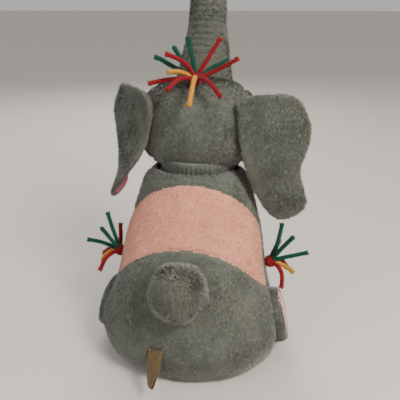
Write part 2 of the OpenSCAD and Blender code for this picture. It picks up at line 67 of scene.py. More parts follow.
CAMERA_AZIMUTH = 189
CAMERA_DISTANCE = 0.404
CAMERA_ELEVATION = 22
CAMERA_AIM = Vector((-0.0045, -0.022, 0.134))
CAMERA_LENS = 43


def aim(obj, place, target):
    obj.location = place
    obj.rotation_mode = "QUATERNION"
    obj.rotation_quaternion = (Vector(target) - Vector(place)).to_track_quat("-Z", "Y")


def link(name, data):
    obj = bpy.data.objects.new(name, data)
    bpy.context.scene.collection.objects.link(obj)
    return obj


def around(azimuth, elevation, distance, centre):
    a, e = math.radians(azimuth), math.radians(elevation)
    back = Vector((math.sin(a) * math.cos(e), -math.cos(a) * math.cos(e), math.sin(e)))
    return Vector(centre) + back * distance


def add_camera():
    data = bpy.data.cameras.new("camera")
    data.sensor_width = 36
    data.lens = CAMERA_LENS
    camera = link("camera", data)
    aim(camera, around(CAMERA_AZIMUTH, CAMERA_ELEVATION, CAMERA_DISTANCE, CAMERA_AIM), CAMERA_AIM)
    bpy.context.scene.camera = camera


def add_area(name, azimuth, elevation, distance, size, power, colour):
    data = bpy.data.lights.new(name, "AREA")
    data.shape = "DISK"
    data.size = size
    data.energy = power
    data.color = colour
    light = link(name, data)
    aim(light, around(azimuth, elevation, distance, CAMERA_AIM), CAMERA_AIM)


def add_stage():
    side = 40.0
    corners = [(-side, -side, 0), (side, -side, 0), (side, side, 0), (-side, side, 0)]
    mesh = bpy.data.meshes.new("floor")
    mesh.from_pydata(corners, [], [(0, 1, 2, 3)])
    floor = link("floor", mesh)
    mesh.materials.append(plain("floor", (0.66, 0.63, 0.58), 0.8))
    world = bpy.data.worlds.new("studio")
    world.use_nodes = True
    world.node_tree.nodes["Background"].inputs["Color"].default_value = (0.86, 0.84, 0.80, 1)
    world.node_tree.nodes["Background"].inputs["Strength"].default_value = 0.62
    bpy.context.scene.world = world
    add_area("key", 226, 40, 0.95, 0.34, 10.5, (1.0, 0.95, 0.88))
    add_area("fill", 138, 30, 1.2, 0.9, 3.4, (0.90, 0.93, 1.0))
    add_area("front", 20, 38, 1.3, 0.9, 9.0, (1.0, 0.98, 0.95))


# ---- Materials ----


def plain(name, colour, rough):
    material = bpy.data.materials.new(name)
    material.use_nodes = True
    shader = material.node_tree.nodes["Principled BSDF"]
    shader.inputs["Base Color"].default_value = (*colour, 1)
    shader.inputs["Roughness"].default_value = rough
    return material


def node_of(material, kind, **values):
    made = material.node_tree.nodes.new(kind)
    for key, value in values.items():
        if key in made.inputs:
            made.inputs[key].default_value = value
        else:
            setattr(made, key, value)
    return made


def noise(material, scale, detail=3.0):
    tree = material.node_tree
    place = tree.nodes.new("ShaderNodeTexCoord")
    made = tree.nodes.new("ShaderNodeTexNoise")
    made.inputs["Scale"].default_value = scale
    made.inputs["Detail"].default_value = detail
    tree.links.new(place.outputs["Object"], made.inputs["Vector"])
    return made.outputs["Fac"]


def ramp(material, source, stops):
    made = material.node_tree.nodes.new("ShaderNodeValToRGB")
    elements = made.color_ramp.elements
    while len(elements) < len(stops):
        elements.new(0.5)
    for element, (at, colour) in zip(elements, stops):
        element.position = at
        element.color = (*colour, 1)
    material.node_tree.links.new(source, made.inputs["Fac"])
    return made.outputs["Color"]


def bump(material, height, strength, distance):
    made = material.node_tree.nodes.new("ShaderNodeBump")
    made.inputs["Strength"].default_value = strength
    made.inputs["Distance"].default_value = distance
    tree = material.node_tree
    tree.links.new(height, made.inputs["Height"])
    tree.links.new(made.outputs["Normal"], tree.nodes["Principled BSDF"].inputs["Normal"])


def shade(colour, factor):
    return tuple(min(1.0, channel * factor) for channel in colour)


def cloth(name, colour, grain=900, spread=0.35, rough=0.92, sheen=0.3):
    """Backing cloth: blotches of wear over a fine grain, with a rough surface."""
    material = plain(name, colour, rough)
    tree = material.node_tree
    shader = tree.nodes["Principled BSDF"]
    shader.inputs["Sheen Weight"].default_value = sheen
    shader.inputs["Sheen Roughness"].default_value = 0.5
    shader.inputs["Specular IOR Level"].default_value = 0.2
    blotch = ramp(material, noise(material, 60, 4),
                  [(0.3, shade(colour, 1 - spread)), (0.7, shade(colour, 1 + spread))])
    fine = ramp(material, noise(material, grain, 2),
                [(0.3, shade(colour, 0.55)), (0.7, shade(colour, 1.25))])
    mix = tree.nodes.new("ShaderNodeMixRGB")
    mix.inputs["Fac"].default_value = 0.45
    tree.links.new(blotch, mix.inputs["Color1"])
    tree.links.new(fine, mix.inputs["Color2"])
    tree.links.new(mix.outputs["Color"], shader.inputs["Base Color"])
    bump(material, noise(material, grain, 2), 0.6, 0.0005)
    return material


def pile_shades(name, colour, spread, sheen=0.25):
    """Four shades of one pile, darker to lighter; each strand of pile takes one of them, and large patches of
    the lighter and darker ones are painted sheen of the nap.
    """
    shades = []
    for i, factor in enumerate((1 - spread, 1 - spread / 3, 1 + spread / 3, 1 + spread)):
        material = plain(f"{name}_{i}", shade(colour, factor), 0.85)
        shader = material.node_tree.nodes["Principled BSDF"]
        shader.inputs["Sheen Weight"].default_value = sheen
        shader.inputs["Specular IOR Level"].default_value = 0.15
        material.node_tree.links.new(
            ramp(material, noise(material, 300, 2), [(0.3, (0.7,) * 3), (0.7, (1.0,) * 3)]),
            shader.inputs["Roughness"],
        )
        shades.append(material)
    return shades


GRAY = (0.128, 0.136, 0.112)
PINK = (0.74, 0.33, 0.225)
ROSE = (0.55, 0.055, 0.13)
POMPOM = (0.21, 0.215, 0.175)

# ---- Meshes ----


def mesh_object(name, points, faces, materials=(), smooth=True):
    mesh = bpy.data.meshes.new(name)
    mesh.from_pydata([tuple(p) for p in points], [], faces)
    mesh.update()
    for material in materials:
        mesh.materials.append(material)
    if smooth:
        mesh.polygons.foreach_set("use_smooth", [True] * len(mesh.polygons))
    return link(name, mesh)


def points_of(mesh):
    co = np.empty(len(mesh.vertices) * 3, np.float32)
    mesh.vertices.foreach_get("co", co)
    return co.reshape(-1, 3).astype(float)


def set_points(mesh, co):
    mesh.vertices.foreach_set("co", np.asarray(co, np.float32).ravel())
    mesh.update()


def wobble(co, size, seed):
    """A smooth random value at each point, about -1 to 1, with lumps of the given size."""
    rng = np.random.default_rng(seed)
    total = np.zeros(len(co))
    for _ in range(9):
        way = rng.normal(size=3)
        way *= 2 * math.pi / (size * rng.uniform(0.8, 1.7)) / np.linalg.norm(way)
        total += np.sin(co @ way + rng.uniform(0, 2 * math.pi))
    return total / 3.2


def joined(name, nodes, extra=()):
    """One object that holds copies of the nodes' meshes and of the extra (points, faces)."""
    points, faces, start = [], [], 0
    for node in nodes:
        mesh = NODES[node].data
        points.append(points_of(mesh))
        faces += [[v + start for v in p.vertices] for p in mesh.polygons]
        start += len(mesh.vertices)
    for more_points, more_faces in extra:
        points.append(np.asarray(more_points))
        faces += [[v + start for v in f] for f in more_faces]
        start += len(more_points)
    return mesh_object(name, np.concatenate(points), faces)


def applied(obj):
    """Turns the object's modifiers into its mesh."""
    bpy.context.view_layer.update()
    done = bpy.data.meshes.new_from_object(obj.evaluated_get(bpy.context.evaluated_depsgraph_get()))
    obj.modifiers.clear()
    old = obj.data
    obj.data = done
    bpy.data.meshes.remove(old)
    return obj


def remeshed(obj, voxel, smoothing):
    remesh = obj.modifiers.new("remesh", "REMESH")
    remesh.mode = "VOXEL"
    remesh.voxel_size = voxel
    remesh.use_smooth_shade = True
    smooth = obj.modifiers.new("smooth", "SMOOTH")
    smooth.factor = 0.5
    smooth.iterations = smoothing
    return applied(obj)


def ball(centre, radius, segments=24):
    points, faces = [], []
    for i in range(segments // 2 + 1):
        b = math.pi * i / (segments // 2)
        for j in range(segments):
            a = 2 * math.pi * j / segments
            points.append((
                centre[0] + radius * math.sin(b) * math.cos(a),
                centre[1] + radius * math.sin(b) * math.sin(a),
                centre[2] + radius * math.cos(b),
            ))
    for i in range(segments // 2):
        for j in range(segments):
            k = (j + 1) % segments
            faces.append((i * segments + j, (i + 1) * segments + j,
                          (i + 1) * segments + k, i * segments + k))
    return points, faces


def normals_of(mesh):
    out = np.empty(len(mesh.vertices) * 3, np.float32)
    mesh.vertices.foreach_get("normal", out)
    return out.reshape(-1, 3).astype(float)


class Panels:
    """Finds which sewn panel a point of the surface belongs to, and how far the nearest seam is."""

    def __init__(self, nodes):
        self.names = list(nodes)
        self.trees = []
        for node in nodes:
            mesh = NODES[node].data
            points = [v.co.copy() for v in mesh.vertices]
            self.trees.append(BVHTree.FromPolygons(points, [tuple(p.vertices) for p in mesh.polygons]))

    def distances(self, co):
        out = np.empty((len(co), len(self.trees)))
        for k, tree in enumerate(self.trees):
            for i, p in enumerate(co):
                hit = tree.find_nearest(p)
                out[i, k] = hit[3] if hit[3] is not None else 1.0
        return out

    def seams(self, co):
        """(index of the nearest panel, distance from the seam with its nearest neighbour)"""
        far = self.distances(co)
        order = np.sort(far, axis=1)
        return far.argmin(axis=1), order[:, 1] - order[:, 0]


def crease(obj, distance, width, depth):
    """Presses the surface in along its seams."""
    co = points_of(obj.data)
    push = depth * np.exp(-((distance / width) ** 2))
    set_points(obj.data, co - normals_of(obj.data) * push[:, None])


# ---- Pile ----


def sample(mesh, count, rng):
    """Random points over a mesh, with their normals and the face under each."""
    mesh.calc_loop_triangles()
    n = len(mesh.loop_triangles)
    tri = np.empty(n * 3, np.int32)
    mesh.loop_triangles.foreach_get("vertices", tri)
    tri = tri.reshape(-1, 3)
    poly = np.empty(n, np.int32)
    mesh.loop_triangles.foreach_get("polygon_index", poly)
    co, no = points_of(mesh), normals_of(mesh)
    a, b, c = co[tri[:, 0]], co[tri[:, 1]], co[tri[:, 2]]
    area = np.linalg.norm(np.cross(b - a, c - a), axis=1)
    pick = rng.choice(n, size=count, p=area / area.sum())
    u, v = rng.random(count), rng.random(count)
    over = u + v > 1
    u[over], v[over] = 1 - u[over], 1 - v[over]
    w = 1 - u - v
    mix = lambda x: x[tri[pick, 0]] * w[:, None] + x[tri[pick, 1]] * u[:, None] + x[tri[pick, 2]] * v[:, None]
    normal = mix(no)
    normal /= np.linalg.norm(normal, axis=1)[:, None]
    return mix(co), normal, poly[pick]


def area_of(mesh):
    return sum(p.area for p in mesh.polygons)


def pile(name, skin, materials, per_mm2, length, width, comb, lean=0.5, seed=1,
         which=None, keep=None, most=95000):
    """Short strands of pile over a skin, one triangle each, combed along comb.

    which gives each root's group of four shades; keep says which roots stay and how long they are.
    """
    rng = np.random.default_rng(seed)
    count = int(min(most, area_of(skin.data) * 1e6 * per_mm2))
    root, normal, _ = sample(skin.data, count, rng)
    scale = np.ones(count)
    if keep is not None:
        scale = keep(root, normal)
        stay = scale > 0.05
        root, normal, scale = root[stay], normal[stay], scale[stay]
        count = len(root)
    group = which(root) if which is not None else np.zeros(count, int)
    way = comb(root) if callable(comb) else np.tile(np.asarray(comb, float), (count, 1))
    swirl = np.stack([wobble(root, 0.016, seed + k) for k in (11, 12, 13)], axis=1)
    way = way + 0.45 * swirl + 0.40 * rng.normal(size=(count, 3))
    way -= (way * normal).sum(axis=1)[:, None] * normal
    way /= np.linalg.norm(way, axis=1)[:, None] + 1e-9
    tilt = np.clip(lean * (1 + 0.3 * rng.normal(size=count)), 0.05, 1.25)
    up = normal * np.cos(tilt)[:, None] + way * np.sin(tilt)[:, None]
    long = length * scale * rng.uniform(0.65, 1.15, count) * (1 + 0.10 * wobble(root, 0.014, seed + 5))
    side = np.cross(up, normal + 0.5 * way + 0.35 * rng.normal(size=(count, 3)))
    side /= np.linalg.norm(side, axis=1)[:, None] + 1e-9
    side *= np.where((np.cross(side, up) * normal).sum(axis=1) < 0, -1.0, 1.0)[:, None]
    half = 0.5 * width * rng.uniform(0.7, 1.3, count)
    base = root - normal * 0.0003
    verts = np.stack([base - side * half[:, None], base + side * half[:, None],
                      base + up * long[:, None]], axis=1)
    mesh = bpy.data.meshes.new(name)
    mesh.vertices.add(count * 3)
    mesh.vertices.foreach_set("co", verts.astype(np.float32).ravel())
    mesh.loops.add(count * 3)
    mesh.loops.foreach_set("vertex_index", np.arange(count * 3, dtype=np.int32))
    mesh.polygons.add(count)
    mesh.polygons.foreach_set("loop_start", np.arange(0, count * 3, 3, dtype=np.int32))
    for material in materials:
        mesh.materials.append(material)
    # Each strand's shade: large lighter and darker patches are painted sheen where the nap turns, and a
    # random shade per strand is laid on top.
    nap_sheen_and_tone = np.clip(2.0 + 0.9 * wobble(root, 0.026, seed + 21) + 0.55 * rng.normal(size=count),
                   0, 3.99).astype(int)
    mesh.polygons.foreach_set("material_index", (group * 4 + nap_sheen_and_tone).astype(np.int32))
    mesh.polygons.foreach_set("use_smooth", [True] * count)
    mesh.update()
    mesh.validate()
    soft = 0.85 * normal + 0.30 * up + 0.12 * rng.normal(size=(count, 3))
    soft /= np.linalg.norm(soft, axis=1)[:, None]
    mesh.normals_split_custom_set_from_vertices(np.repeat(soft, 3, axis=0).tolist())
    return link(name, mesh)


def dress(skin, hair, body, nodes):
    """Skin and pile ride together on one body and stand for its CAD nodes."""
    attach(skin, body)
    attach(hair, body)
    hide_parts(*nodes)


def paint(skin, materials, groups):
    """Gives each face of the skin the material of its group."""
    skin.data.materials.clear()
    for material in materials:
        skin.data.materials.append(material)
    mesh = skin.data
    middle = np.empty(len(mesh.polygons) * 3, np.float32)
    mesh.polygons.foreach_get("center", middle)
    mesh.polygons.foreach_set("material_index", groups(middle.reshape(-1, 3)).astype(np.int32))
    mesh.polygons.foreach_set("use_smooth", [True] * len(mesh.polygons))
    mesh.update()


def span(node):
    lo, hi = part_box(node)
    return Vector(hi) - Vector(lo)


def middle_of(node):
    lo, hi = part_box(node)
    return (Vector(hi) + Vector(lo)) / 2


def lumpy(skin, size, depth, seed):
    co = points_of(skin.data)
    set_points(skin.data, co + normals_of(skin.data) * (depth * wobble(co, size, seed))[:, None])


def floor_trim(root, normal):
    """Pile is pressed flat under the toy, where it sits on the table."""
    return np.where((root[:, 2] < 2.5 * MM) & (normal[:, 2] < -0.3), 0.25, 1.0)


# ---- Body ----


def make_body(gray, pink, gray_pile, pink_pile):
    skins = ["rump_panel", "saddle_panel", "shoulder_panel", "belly_panel"]
    hips = [JOINTS[name]["pos_m"] for name in ("hip_left", "hip_right")]
    hip_radius = span("hind_skin_left").z / 2 + 0.2 * MM
    skin = joined("body_skin", skins + ["seat_panel", "body_stuffing"], [ball(p, hip_radius) for p in hips])
    remeshed(skin, 1.8 * MM, 12)
    lumpy(skin, 0.045, 0.7 * MM, 3)
    co = points_of(skin.data)
    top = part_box("belly_panel")[1][2]
    co[:, 2] += 3.0 * MM * np.clip((co[:, 2] - top + 16 * MM) / (16 * MM), 0, 1) ** 2
    set_points(skin.data, co)
    panels = Panels(skins)
    _, seam = panels.seams(co)
    crease(skin, seam, 1.6 * MM, 1.3 * MM)
    saddle_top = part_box("saddle_panel")[1][2]
    back = (co[:, 1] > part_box("shoulder_panel")[0][1] + 12 * MM) & (co[:, 2] > saddle_top - 1 * MM)
    crease(skin, np.where(back, np.abs(co[:, 0]), 1.0), 1.2 * MM, 1.0 * MM)
    is_pink = lambda p: (panels.seams(p)[0] == 1).astype(int)
    paint(skin, [gray, pink], is_pink)

    def keep(root, normal):
        _, far = panels.seams(root)
        near_seam = 0.55 + 0.45 * np.clip(far / (2.2 * MM), 0, 1)
        pink_short = np.where(is_pink(root) == 1, 0.72, 1.0)
        return near_seam * pink_short * floor_trim(root, normal)

    comb = lambda p: np.stack([0.15 * np.sign(p[:, 0]), 0.0 * p[:, 1], -np.ones(len(p))], axis=1)
    hair = pile(
        "body_pile", skin, gray_pile + pink_pile, per_mm2=3.1, length=2.4 * MM, width=0.46 * MM,
        comb=comb, lean=0.8, seed=5, which=is_pink, keep=keep, most=195000)
    dress(skin, hair, "torso", skins + ["seat_panel", "body_stuffing"])


def make_head(gray, gray_pile):
    skins = ["head_side_left", "head_side_right", "head_gusset", "chin_panel"]
    skin = remeshed(joined("head_skin", skins + ["head_stuffing"]), 1.6 * MM, 12)
    lumpy(skin, 0.03, 0.6 * MM, 8)
    co = points_of(skin.data)
    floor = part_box("head_gusset")[0][2]
    co[:, 2] -= 1.4 * MM * np.clip((floor + 12 * MM - co[:, 2]) / (12 * MM), 0, 1) ** 2
    set_points(skin.data, co)
    panels = Panels(skins)
    _, seam = panels.seams(points_of(skin.data))
    crease(skin, seam, 1.5 * MM, 1.3 * MM)
    paint(skin, [gray], lambda p: np.zeros(len(p), int))
    eyes = [middle_of("eye_left"), middle_of("eye_right")]

    def keep(root, normal):
        _, far = panels.seams(root)
        short = 0.5 + 0.5 * np.clip(far / (2.2 * MM), 0, 1)
        for eye in eyes:
            off = np.linalg.norm(root - np.array(eye), axis=1)
            short = np.where(off < 8 * MM, short * 0.45, short)
        return short

    comb = lambda p: np.stack([0.1 * np.sign(p[:, 0]), 0.55 * np.ones(len(p)),
                               -0.8 * np.ones(len(p))], axis=1)
    hair = pile(
        "head_pile", skin, gray_pile, per_mm2=3.6, length=2.3 * MM, width=0.44 * MM, comb=comb,
        lean=0.8, seed=17, keep=keep, most=150000)
    dress(skin, hair, "head", skins + ["head_stuffing"])


def make_neck(gray, gray_pile):
    """The gathered cloth that closes the neck seam between body and head."""
    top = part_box("belly_panel")[1][2]
    rim = np.concatenate([points_of(NODES[n].data) for n in ("belly_panel", "shoulder_panel")])
    rim = rim[rim[:, 2] > top - 2.5 * MM]
    lo, hi = rim.min(axis=0), rim.max(axis=0)
    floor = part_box("head_gusset")[0][2]
    low, high = top - 9 * MM, floor + 7 * MM
    middle = (lo + hi) / 2
    half = (hi - lo) / 2
    around_count, rows = 260, 15
    points, faces = [], []
    for j in range(rows):
        t = j / (rows - 1)
        for i in range(around_count):
            a = 2 * math.pi * i / around_count
            waist = math.sin(math.pi * t)
            gather = (0.5 * MM * math.cos(52 * a) * waist - 4.2 * MM * waist**2 - 1.5 * MM * (1 - t)
                      - 9 * MM * max(0.0, t - 0.35) ** 2)
            c, d = math.cos(a), math.sin(a)
            points.append((middle[0] + (half[0] + gather) * c, middle[1] + (half[1] + gather) * d,
                           low + (high - low) * t))
    for j in range(rows - 1):
        for i in range(around_count):
            k = (i + 1) % around_count
            faces.append((j * around_count + i, j * around_count + k,
                          (j + 1) * around_count + k, (j + 1) * around_count + i))
    faces.append(tuple(range(around_count))[::-1])
    faces.append(tuple((rows - 1) * around_count + i for i in range(around_count)))
    ring = mesh_object("neck_gather", points, faces, [gray])
    flat = lambda root, normal: np.where(np.abs(normal[:, 2]) > 0.6, 0.0, 0.75)
    hair = pile(
        "neck_pile", ring, gray_pile, per_mm2=3.0, length=2.2 * MM, width=0.40 * MM,
        comb=(0, 0, -1), lean=0.5, seed=27, keep=flat, most=30000)
    for obj in (ring, hair):
        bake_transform(obj)
    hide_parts("neck_plug", "neck_thread")


# ---- Trunk ----


def spline(points, t):
    """A point at t (0 to 1) on a smooth curve through the rows of points."""
    points = np.asarray(points, float)
    n = len(points) - 1
    s = min(max(t, 0), 1) * n
    i = min(int(s), n - 1)
    u = s - i
    p0, p1, p2, p3 = points[max(i - 1, 0)], points[i], points[i + 1], points[min(i + 2, n)]
    return 0.5 * (2 * p1 + (p2 - p0) * u + (2 * p0 - 5 * p1 + 4 * p2 - p3) * u**2
                  + (3 * p1 - p0 - 3 * p2 + p3) * u**3)


def tube(name, path, radii, t0, t1, rings, segments, fold):
    """A closed stretch of a round tube whose middle follows path, from t0 to t1."""
    points, faces = [], []
    for j in range(rings + 1):
        t = t0 + (t1 - t0) * j / rings
        middle = spline(path, t)
        along = spline(path, min(t + 0.01, 1)) - spline(path, max(t - 0.01, 0))
        along /= np.linalg.norm(along)
        side = np.array([1.0, 0, 0])
        up = np.cross(along, side)
        r = spline(np.array(radii)[:, None], t)[0]
        for i in range(segments):
            a = 2 * math.pi * i / segments
            points.append(middle + (r + fold(t, a)) * (math.cos(a) * side + math.sin(a) * up))
    n = segments
    for j in range(rings):
        for i in range(n):
            k = (i + 1) % n
            faces.append((j * n + i, j * n + k, (j + 1) * n + k, (j + 1) * n + i))
    points += [spline(path, t0), spline(path, t1)]
    last = rings * n
    for i in range(n):
        k = (i + 1) % n
        faces.append((k, i, last + n))
        faces.append((last + i, last + k, last + n + 1))
    return mesh_object(name, points, faces)


def make_trunk(gray, gray_pile):
    names = ["trunk_root", "trunk_middle", "trunk_end"]
    joints = [np.array(JOINTS[name]["pos_m"]) for name in names]
    tip = np.array(middle_of("trunk_tip"))
    first = joints[1] - joints[0]
    first /= np.linalg.norm(first)
    widths = [span(f"trunk_skin_{i}").x / 2 for i in (1, 2, 3)]
    tip_radius = span("trunk_tip").x / 2 * 1.12
    path = [joints[0] - 20 * MM * first] + joints + [tip]
    radii = [widths[0] * 1.42, widths[0] * 1.10, widths[1] * 0.97, widths[2] * 0.97, tip_radius]
    fold = lambda t, a: 0.35 * MM * math.sin(2 * math.pi * t * 23) * (0.4 + 0.6 * max(0.0, math.sin(a)))
    cuts = [0.0, 0.375, 0.625, 1.0]
    for i in range(3):
        skin = tube(f"trunk_part_{i + 1}", path, radii, cuts[i], cuts[i + 1], 34, 56, fold)
        skin.data.materials.append(gray)
        lumpy(skin, 0.03, 0.4 * MM, 31)
        ahead = joints[i + 1] if i < 2 else tip
        out = (ahead - joints[i]) / np.linalg.norm(ahead - joints[i])

        def keep(root, normal, i=i):
            inside = np.abs((normal * out).sum(axis=1)) > 0.93
            return np.where(inside, 0.0, 1.0)

        comb = np.tile(-out, (1, 1))[0]
        hair = pile(
            f"trunk_pile_{i + 1}", skin, gray_pile, per_mm2=3.6, length=2.3 * MM, width=0.44 * MM,
            comb=comb, lean=0.8, seed=41 + i, keep=keep, most=50000)
        for obj in (skin, hair):
            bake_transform(obj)
        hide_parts(f"trunk_skin_{i + 1}", f"trunk_stuffing_{i + 1}")


# ---- Felt pads ----


def puffy(name, centre, axis, radius, height, material, stitches=26):
    """A round felt pad with a crowned face and a puckered, stitched rim."""
    axis = np.array(axis, float) / np.linalg.norm(axis)
    side = np.cross(axis, [0.0, 0.0, 1.0] if abs(axis[2]) < 0.9 else [1.0, 0, 0])
    side /= np.linalg.norm(side)
    up = np.cross(axis, side)
    rings, segments = 18, 104
    centre = np.array(centre, float)
    points, faces = [], []
    for j in range(rings + 1):
        s = 1 - j / (rings + 1)
        for i in range(segments):
            a = 2 * math.pi * i / segments
            pucker = 0.35 * MM * math.cos(stitches * a) * math.exp(-((1 - s) / 0.12) ** 2)
            seam = -0.5 * MM * math.exp(-((s - 0.93) / 0.03) ** 2)
            rise = height * (1 - s**2.6) + seam + pucker
            points.append(centre + radius * s * (math.cos(a) * side + math.sin(a) * up) + rise * axis)
    n = segments
    for j in range(rings):
        for i in range(n):
            k = (i + 1) % n
            faces.append((j * n + i, j * n + k, (j + 1) * n + k, (j + 1) * n + i))
    top = len(points)
    points += [centre + height * axis, centre - 1.2 * MM * axis]
    for i in range(n):
        k = (i + 1) % n
        faces.append((rings * n + i, rings * n + k, top))
        faces.append((k, i, top + 1))
    return mesh_object(name, points, faces, [material])


def make_pad(name, node, axis, body, material, shades, height, seed):
    box = span(node)
    radius = max(box) / 2 * 1.06
    skin = puffy(name, middle_of(node) - Vector(axis) * (0.4 * min(box)), axis, radius, height, material)
    hair = pile(
        f"{name}_nap", skin, shades, per_mm2=3.2, length=1.1 * MM, width=0.34 * MM,
        comb=(0, 0, -1), lean=0.9, seed=seed, keep=lambda root, normal: floor_trim(root, normal),
        most=9000)
    dress(skin, hair, body, [node])


# ---- Limbs, ears, tail ----


def make_limb(name, nodes, body, smoothing, gray, gray_pile, comb, seed, hide=None, most=60000):
    skin = remeshed(joined(f"{name}_skin", nodes), 1.6 * MM, smoothing)
    lumpy(skin, 0.028, 0.5 * MM, seed)
    paint(skin, [gray], lambda p: np.zeros(len(p), int))

    def keep(root, normal):
        out = floor_trim(root, normal)
        return out if hide is None else out * hide(root, normal)

    hair = pile(
        f"{name}_pile", skin, gray_pile, per_mm2=3.4, length=2.3 * MM, width=0.44 * MM, comb=comb,
        lean=0.8, seed=seed, keep=keep, most=most)
    dress(skin, hair, body, nodes)


def make_limbs(gray, pink_felt, gray_pile, pink_nap):
    for k, side in enumerate(("left", "right")):
        hip = np.array(JOINTS[f"hip_{side}"]["pos_m"])
        sole = np.array(middle_of(f"sole_{side}"))
        out = (sole - hip) / np.linalg.norm(sole - hip)
        buried = lambda root, normal, hip=hip, out=out: np.where((root - hip) @ out < 4 * MM, 0.0, 1.0)
        make_limb(f"hind_leg_{side}", [f"hind_skin_{side}", f"hind_stuffing_{side}"], f"hind_leg_{side}",
                  34, gray, gray_pile, tuple(-0.3 * out - np.array([0, 0, 0.9])), 60 + k, buried)
        make_pad(f"hind_sole_{side}", f"sole_{side}", tuple(out), f"hind_leg_{side}",
                 pink_felt, pink_nap, 3.6 * MM, 70 + k)
        make_limb(f"front_leg_{side}", [f"front_skin_{side}", f"front_stuffing_{side}"], f"front_leg_{side}",
                  16, gray, gray_pile, (0, 0, -1), 80 + k)
        make_pad(f"front_sole_{side}", f"pad_{side}", (0, 0, -1), f"front_leg_{side}",
                 pink_felt, pink_nap, 0.5 * MM, 90 + k)


def make_ear(side, gray, rose, gray_pile, rose_pile, seed):
    nodes = [f"ear_back_{side}", f"ear_lining_{side}"]
    skin = remeshed(joined(f"ear_{side}_skin", nodes), 1.1 * MM, 8)
    panels = Panels(nodes)
    _, seam = panels.seams(points_of(skin.data))
    lumpy(skin, 0.022, 0.5 * MM, seed)
    which = lambda p: (panels.distances(p).argmin(axis=1) == 1).astype(int)
    paint(skin, [gray, rose], which)
    keep = lambda root, normal: np.where(which(root) == 1, 0.55, 1.0)
    hair = pile(
        f"ear_{side}_pile", skin, gray_pile + rose_pile, per_mm2=3.6, length=2.3 * MM,
        width=0.44 * MM, comb=(0, 0.0, -1), lean=0.8, seed=seed, which=which, keep=keep,
        most=80000)
    dress(skin, hair, f"ear_{side}", nodes)


def make_tail(gray, tail_pile):
    nodes = ["tail_skin", "tail_stuffing"]
    skin = remeshed(joined("tail_puff", nodes), 1.4 * MM, 8)
    lumpy(skin, 0.018, 0.9 * MM, 51)
    paint(skin, [gray], lambda p: np.zeros(len(p), int))
    hair = pile(
        "tail_pile", skin, tail_pile, per_mm2=8.0, length=4.6 * MM, width=0.46 * MM,
        comb=(0.3, 0.2, -0.6), lean=0.6, seed=52, most=30000)
    dress(skin, hair, "tail", nodes)


def make_mouth(gray, rose, gray_pile):
    skin = remeshed(joined("jaw_skin", ["jaw"]), 1.0 * MM, 8)
    paint(skin, [gray], lambda p: np.zeros(len(p), int))
    hair = pile(
        "jaw_pile", skin, gray_pile, per_mm2=2.4, length=2.2 * MM, width=0.44 * MM,
        comb=(0, 0.2, -1), lean=0.8, seed=55, most=8000)
    dress(skin, hair, "head", ["jaw"])
    felt = remeshed(joined("mouth_lining", ["mouth_felt"]), 0.7 * MM, 4)
    lumpy(felt, 0.006, 0.25 * MM, 56)
    paint(felt, [rose], lambda p: np.zeros(len(p), int))
    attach(felt, "head")
    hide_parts("mouth_felt")


# ---- Yarn ----


def loose_parts(node):
    """The vertices of each separate strand in a node, as arrays of points."""
    mesh = NODES[node].data
    co = points_of(mesh)
    owner = list(range(len(co)))

    def root(i):
        while owner[i] != i:
            owner[i] = owner[owner[i]]
            i = owner[i]
        return i

    key = {}
    for i, p in enumerate(np.round(co, 6)):
        j = key.setdefault(tuple(p), i)
        owner[root(i)] = root(j)
    for edge in mesh.edges:
        a, b = root(edge.vertices[0]), root(edge.vertices[1])
        owner[a] = b
    groups = {}
    for i in range(len(co)):
        groups.setdefault(root(i), []).append(i)
    return [co[g] for g in groups.values()]


def strand_path(co, knot):
    """The middle line of a strand, from the end nearest the knot outward."""
    far = np.linalg.norm(co - knot, axis=1)
    lo, hi = far.min(), far.max()
    steps = 5
    path = []
    for k in range(steps):
        want = lo + (hi - lo) * k / (steps - 1)
        near = np.abs(far - want) < 0.6 * (hi - lo) / (steps - 1)
        path.append(co[near].mean(axis=0))
    path.insert(0, knot + (path[0] - knot) * 0.45)
    return np.array(path)


def yarn_tube(points, faces, path, radius, segments=7):
    """Adds a thin tube along a dense path."""
    start = len(points)
    n = len(path)
    way = np.gradient(path, axis=0)
    way /= np.linalg.norm(way, axis=1)[:, None]
    side = np.cross(way, [0.31, 0.85, 0.42])
    side /= np.linalg.norm(side, axis=1)[:, None]
    up = np.cross(way, side)
    for j in range(n):
        for i in range(segments):
            a = 2 * math.pi * i / segments
            points.append(path[j] + radius[j] * (math.cos(a) * side[j] + math.sin(a) * up[j]))
    for j in range(n - 1):
        for i in range(segments):
            k = (i + 1) % segments
            p, q = start + j * segments, start + (j + 1) * segments
            faces.append((p + i, p + k, q + k, q + i))
    faces.append(tuple(start + i for i in range(segments))[::-1])
    faces.append(tuple(start + (n - 1) * segments + i for i in range(segments)))


